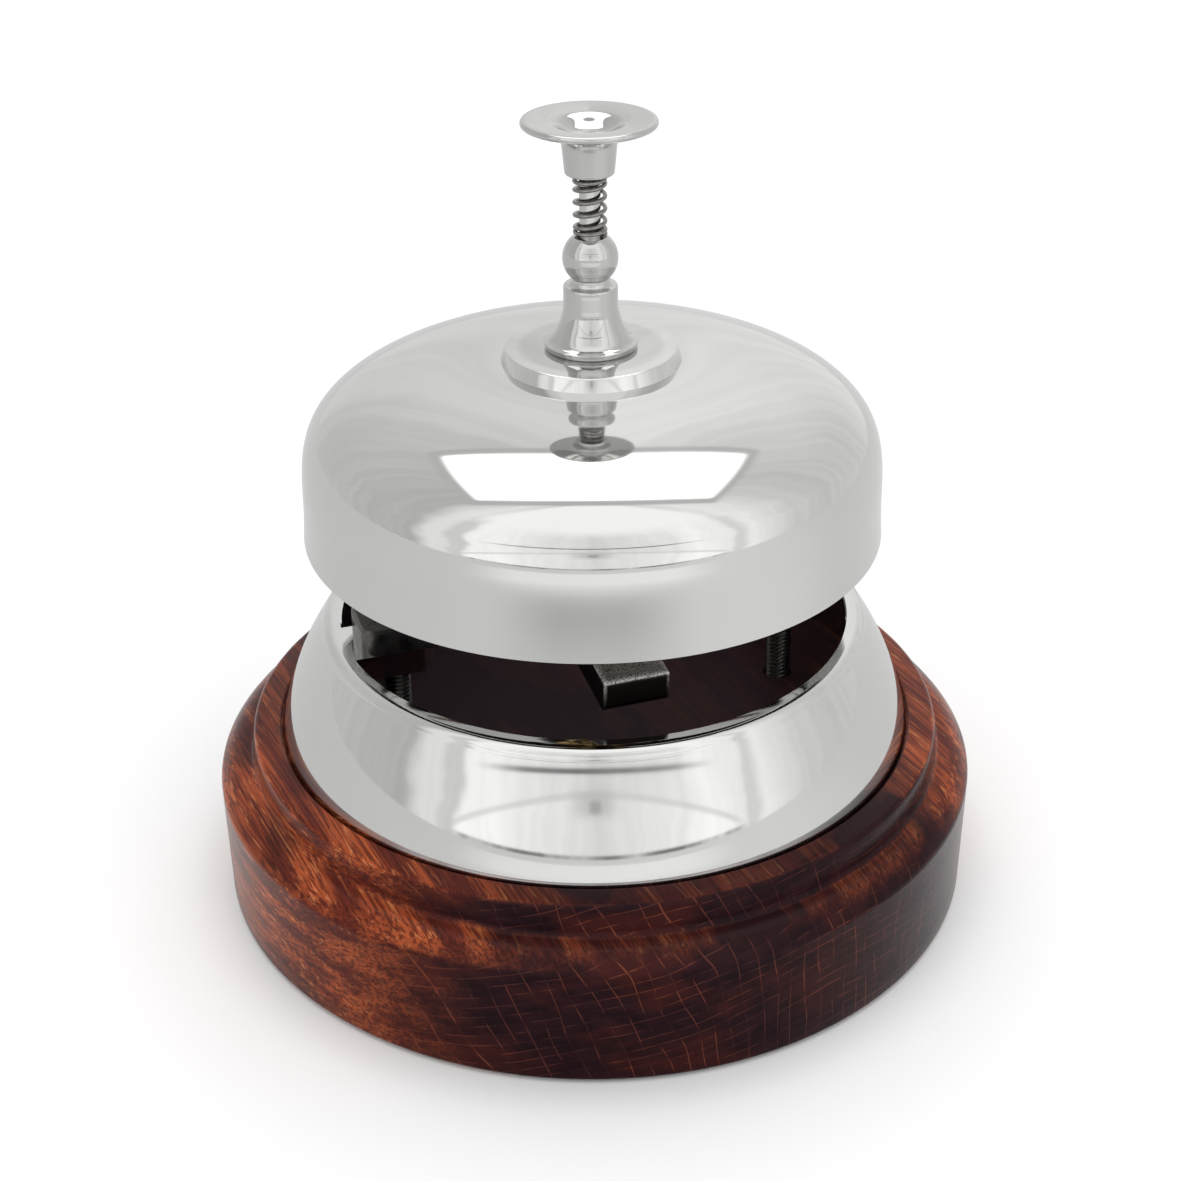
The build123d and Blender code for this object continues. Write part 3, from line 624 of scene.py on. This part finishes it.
def carve(piece, tools, operation):
    """Cut closed tool meshes out of a piece, or join them to it. The tools are removed afterwards."""
    for tool in tools:
        change = piece.modifiers.new("carve", "BOOLEAN")
        change.object, change.operation, change.solver = tool, operation, "EXACT"
    bpy.context.view_layer.update()
    mesh = bpy.data.meshes.new_from_object(piece.evaluated_get(bpy.context.evaluated_depsgraph_get()))
    piece.modifiers.clear()
    piece.data = mesh
    for tool in tools:
        bpy.data.objects.remove(tool, do_unlink=True)


def prism(outline, low, high):
    """A closed (x, y) outline raised from low to high, as a loose tool mesh."""
    count = len(outline)
    mesh = bpy.data.meshes.new("tool")
    verts = [(x * MM, y * MM, z * MM) for z in (low, high) for x, y in outline]
    sides = [(k, (k + 1) % count, count + (k + 1) % count, count + k) for k in range(count)]
    mesh.from_pydata(verts, [], [tuple(reversed(range(count))), tuple(range(count, 2 * count)), *sides])
    for face in mesh.polygons:
        face.use_smooth = False
    obj = bpy.data.objects.new("tool", mesh)
    bpy.context.scene.collection.objects.link(obj)
    return obj


def on_bridge_line(outline, side):
    """The outline turned onto the bridge's direction, or its opposite."""
    angle = math.radians(BRIDGE_AZIMUTH + side)
    c, s = math.cos(angle), math.sin(angle)
    return [(x * c - y * s, x * s + y * c) for x, y in outline]


def circle(x, radius, count=48):
    """A closed round outline centred at (x, 0)."""
    return [(x + radius * math.cos(2 * math.pi * k / count), radius * math.sin(2 * math.pi * k / count))
            for k in range(count)]


def wood_body():
    """The turned base, bored for the two screws."""
    outer_r, foot_z, step_r, top_z, floor_z = 57.8, 0.4, 52.5, 26.3, RING_FOOT_Z
    foot, land, wall_top = 0.8, 0.8, 19.5 - 1.4
    outline = arc((outer_r - foot, foot_z), (57.55, 0.65), (outer_r, foot_z + foot), 6)
    outline += [(outer_r + 0.2 * k / 6, 1.2 + (wall_top - 1.2) * k / 6) for k in range(1, 7)]
    outline += arc((58.0, wall_top), (57.9, 18.9), (57.5, 19.5), 8)
    outline += arc((57.5, 19.5), (55.8, 20.95), (53.5, 21.4), 10)
    outline += arc((53.5, 21.4), (52.95, 21.75), (52.75, 22.4), 8)
    outline += arc((step_r, top_z - land), (52.25, 26.05), (step_r - land, top_z), 6)
    outline += [(48.7, top_z), (RECESS_R, 26.1), (RECESS_R, floor_z), (44.0, floor_z), (0, floor_z)]
    outline += [(0, FELT_TOP_Z), (52.4, FELT_TOP_Z), (52.4, foot_z)]
    piece = lathe("wood_base_turned", outline, "stained_wood")
    counterbore, hole = circle(SCREW_PITCH_R, COUNTERBORE_R), circle(SCREW_PITCH_R, SCREW_HOLE_R)
    bores = []
    for side in SCREW_SIDES:
        bores.append(prism(on_bridge_line(counterbore, side), 1.0, SCREW_SEAT_Z))
        bores.append(prism(on_bridge_line(hole, side), 6.0, 26.4))
    carve(piece, bores, "DIFFERENCE")
    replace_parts(piece, "wood_base")


def leaning(degrees):
    """Direction of a wall that leans inwards by so many degrees from upright."""
    return (-math.sin(math.radians(degrees)), math.cos(math.radians(degrees)))


def ring_and_lugs():
    """The flared ring with its two bored lugs."""
    lip, mouth, floor_z = RING_LIP_Z, RING_MOUTH_R, RING_FOOT_Z
    lug_thickness, lug_end, lug_half, corner_r = 3.8, 26.0, 5.0, 2.0
    outline = [(47.9, floor_z)]
    flare = [(48.2, 25.7), (47.2, 29.2), (44.5, 36.0), (41.0, 42.0)]
    outline += spline(flare, leaning(15.0), leaning(33.0), 16)
    outline += arc((41.0, 42.0), (40.35, 43.0), (39.3, lip), 10)
    outline += [(mouth + 0.2, lip), (mouth, lip - 0.2), (mouth, 41.4), (44.3, 30.0), (44.9, floor_z)]
    piece = lathe("base_ring_turned", outline, "nickel")
    corner = [(lug_end + corner_r - corner_r * math.sin(a), corner_r - lug_half - corner_r * math.cos(a))
              for a in (math.pi / 2 * k / 8 for k in range(9))]
    plate = [(38.6, -lug_half), *corner, *[(x, -y) for x, y in reversed(corner)], (38.6, lug_half)]
    lugs = [prism(on_bridge_line(plate, side), lip - lug_thickness, lip) for side in SCREW_SIDES]
    carve(piece, lugs, "UNION")
    hole = circle(SCREW_PITCH_R, SCREW_HOLE_R)
    carve(piece, [prism(on_bridge_line(hole, side), 39.0, 44.0) for side in SCREW_SIDES], "DIFFERENCE")
    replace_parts(piece, "base_ring")


gong()
column()
button()
return_spring()
threaded_screws()
felt_disc()
wood_body()
ring_and_lugs()


# ---------------------------------------------------------------- stage
def grey_ramp(t, value, low, high, stops):
    """A grey level read off straight lines between (value, level) stops. Levels may pass 1."""
    top = max(level for _, level in stops)
    share = t.span(value, low, high, smooth=False)
    ramp = t.node("ShaderNodeValToRGB", {0: share})
    elements = ramp.color_ramp.elements
    while len(elements) < len(stops):
        elements.new(0.5)
    for element, (at, level) in zip(elements, stops):
        element.position = (at - low) / (high - low)
        element.color = (level / top,) * 3 + (1,)
    return t.times(t.node("ShaderNodeRGBToBW", {0: ramp.outputs[0]}).outputs[0], top)


def floor():
    """White paper. Seen in reflections it has painted shade close in front of the bell and painted light
    further off.
    """
    bpy.ops.mesh.primitive_plane_add(size=40.0)
    plane = bpy.context.object
    plane.name = "floor"
    mat, t = material("floor_paper")
    seen = t.node("ShaderNodeLightPath").outputs["Is Camera Ray"]
    x, y, _ = t.node("ShaderNodeSeparateXYZ", {0: t.node("ShaderNodeNewGeometry").outputs["Position"]}).outputs
    away = t.reach(x, y)
    azimuth = t.azimuth(x, y)
    aside = t.math("ABSOLUTE", azimuth)
    # seen only in reflections: painted light further off in front (bright), painted shade of the bell close in
    # front (near), and a level painted round by azimuth; camera rays see at least 0.98
    bright = t.times(t.span(aside, 50.0, 25.0), t.times(t.span(away, 0.20, 0.34), t.span(away, 1.1, 0.8)))
    near = t.times(t.span(aside, 40.0, 8.0), t.span(away, 0.24, 0.15))
    level = t.math("ADD", t.span(azimuth, -120.0, 60.0, 0.64, 0.79), t.times(bright, 0.22))
    level = t.math("SUBTRACT", level, t.span(azimuth, 55.0, 105.0, 0.0, 0.11))
    level = t.math("SUBTRACT", level, t.times(near, 0.24))
    level = t.math("MAXIMUM", level, t.times(seen, 0.98))
    shader = t.node("ShaderNodeBsdfDiffuse", {"Color": level})
    t.node("ShaderNodeOutputMaterial", {"Surface": shader.outputs[0]})
    plane.data.materials.append(mat)


WALL_LEVELS = (                  # (azimuth, grey level) round the tent's cloth walls
    (-180, 0.97), (-150, 0.90), (-130, 0.74), (-100, 0.67), (-69, 0.61), (-63, 0.98), (-56, 1.10),
    (-53, 0.86), (-48, 0.86), (-45, 1.28), (-32, 1.25), (-24, 1.14), (-6, 1.00), (0, 0.93), (8, 1.00),
    (30, 1.14), (35, 1.28), (50, 1.25), (53, 0.90), (56, 0.94), (59, 1.20), (70, 1.02), (80, 0.82),
    (100, 0.76), (125, 0.85), (150, 1.08), (165, 1.07), (180, 0.97),
)


def world():
    """The light tent as the bell sees it, drawn by direction. Azimuth 0 is the camera's side."""
    made = bpy.data.worlds.new("studio")
    bpy.context.scene.world = made
    made.use_nodes = True
    t = Tree(made.node_tree)
    ray = t.node("ShaderNodeTexCoord").outputs["Generated"]
    x, y, z = t.node("ShaderNodeSeparateXYZ", {0: ray}).outputs
    azimuth = t.azimuth(x, y)
    aside = t.math("ABSOLUTE", azimuth)
    azimuth_square = t.times(azimuth, azimuth)
    rise = t.times(t.math("ARCSINE", z), 180.0 / math.pi)
    high = t.math("MAXIMUM", z, 0.02)
    u = t.math("DIVIDE", x, high)
    v = t.math("DIVIDE", y, high)

    def window(value, low, high_edge, soft):
        """1 between two soft edges, 0 outside them."""
        return t.times(t.span(value, low - soft, low + soft), t.span(value, high_edge + soft, high_edge - soft))

    def paint(under, mask, light):
        return t.node("ShaderNodeMix", {0: mask, 2: under, 3: light}).outputs[0]

    # cloth walls: folds and panels by azimuth; the folds lean outwards as they rise
    wave = t.noise(t.combine(t.times(azimuth, 0.05), t.times(rise, 0.06)), 1.0, 2.0)
    lean = t.span(rise, 0.0, 75.0, 1.0, 0.74, smooth=False)
    across = t.math("ADD", t.times(azimuth, lean), t.times(t.math("SUBTRACT", wave, 0.5), 10.0))
    level = grey_ramp(t, across, -180.0, 180.0, WALL_LEVELS)
    fine = t.noise(t.combine(t.times(across, 0.22), t.times(rise, 0.01)), 1.0, 3.0, 0.6)
    level = t.times(level, t.span(fine, 0.30, 0.70, 0.95, 1.05))
    # ceiling: bright in front, with a soft arch below it and a dark seam across the arch
    level = paint(level, t.times(t.span(aside, 75.0, 60.0), t.span(rise, 46.0, 62.0)), 1.30)
    arch = t.math("SUBTRACT", rise, t.math("SUBTRACT", 24.0, t.times(azimuth_square, 0.0085)))
    inside_arch = t.times(t.span(arch, 1.0, -1.0), t.span(aside, 50.0, 46.0))
    level = t.times(level, t.span(inside_arch, 0.0, 1.0, 1.0, 1.06))
    arch_line = t.times(window(arch, -1.2, 1.4, 0.8), t.span(aside, 54.0, 46.0))
    level = paint(level, t.times(arch_line, 0.55), 0.78)
    seam = t.math("SUBTRACT", rise, t.math("SUBTRACT", 30.5, t.times(azimuth_square, 0.0026)))
    seam_line = t.times(window(seam, -0.6, 0.6, 0.3), t.span(aside, 50.0, 26.0))
    level = paint(level, t.times(seam_line, 0.92), 0.14)
    # the opening in front, with a dark round spot in it
    opening = t.times(window(azimuth, -7.0, 7.0, 4.0), window(rise, 16.0, 25.0, 3.5))
    level = paint(level, t.times(opening, 0.6), 0.62)
    spot = t.times(window(azimuth, -2.0, 2.0, 1.0), window(rise, 17.0, 22.0, 1.5))
    level = paint(level, t.times(spot, 0.5), 0.30)
    # the tent is dimmer low down behind the bell
    behind = t.times(t.span(aside, 110.0, 145.0), t.span(rise, 42.0, 12.0, 0.0, 0.13))
    level = t.times(level, t.math("SUBTRACT", 1.0, behind))
    # overhead softbox in its dark frame
    overhead = t.span(z, 0.3, 0.4)
    surround = t.times(window(u, -0.55, 0.56, 0.03), window(v, -0.035, 0.76, 0.015))
    level = paint(level, t.times(surround, overhead), 0.62)
    box = t.times(window(u, -0.48, 0.50, 0.025), window(v, 0.05, 0.68, 0.02))
    level = paint(level, t.times(box, overhead), 2.3)
    # the dark edge of the table
    ragged = t.noise(t.combine(t.times(azimuth, 0.06), 3.0), 1.0, 3.0, 0.6)
    edge = t.times(window(rise, -0.2, 1.3, 0.5), window(azimuth, -47.0, 50.0, 4.0))
    level = paint(level, t.times(edge, t.span(ragged, 0.34, 0.60, 0.35, 0.95)), 0.20)
    backdrop = t.node("ShaderNodeBackground", {"Color": (1, 1, 1, 1), "Strength": level})
    t.node("ShaderNodeOutputWorld", {"Surface": backdrop.outputs[0]})


CAMERA_PLACE = (0, -0.27175, 0.194254)           # m
CAMERA_TURN, CAMERA_DIP, CAMERA_ROLL = -0.219, 28.689, -0.407   # degrees
FOCAL_LENGTH, SENSOR_WIDTH = 62.46, 36.0         # mm


def camera():
    """The viewpoint, looking down at the bell from its front, -Y."""
    data = bpy.data.cameras.new("camera")
    data.lens = FOCAL_LENGTH
    data.sensor_width = SENSOR_WIDTH
    data.shift_x = -0.0082
    data.clip_start = 0.01
    obj = bpy.data.objects.new("camera", data)
    bpy.context.scene.collection.objects.link(obj)
    turn = Matrix.Rotation(math.radians(CAMERA_TURN), 4, "Z")
    tip = Matrix.Rotation(math.radians(90 - CAMERA_DIP), 4, "X")
    roll = Matrix.Rotation(math.radians(CAMERA_ROLL), 4, "Z")
    obj.matrix_world = Matrix.Translation(CAMERA_PLACE) @ turn @ tip @ roll
    bpy.context.scene.camera = obj


floor()
world()
camera()
bpy.context.scene.view_settings.view_transform = "Standard"
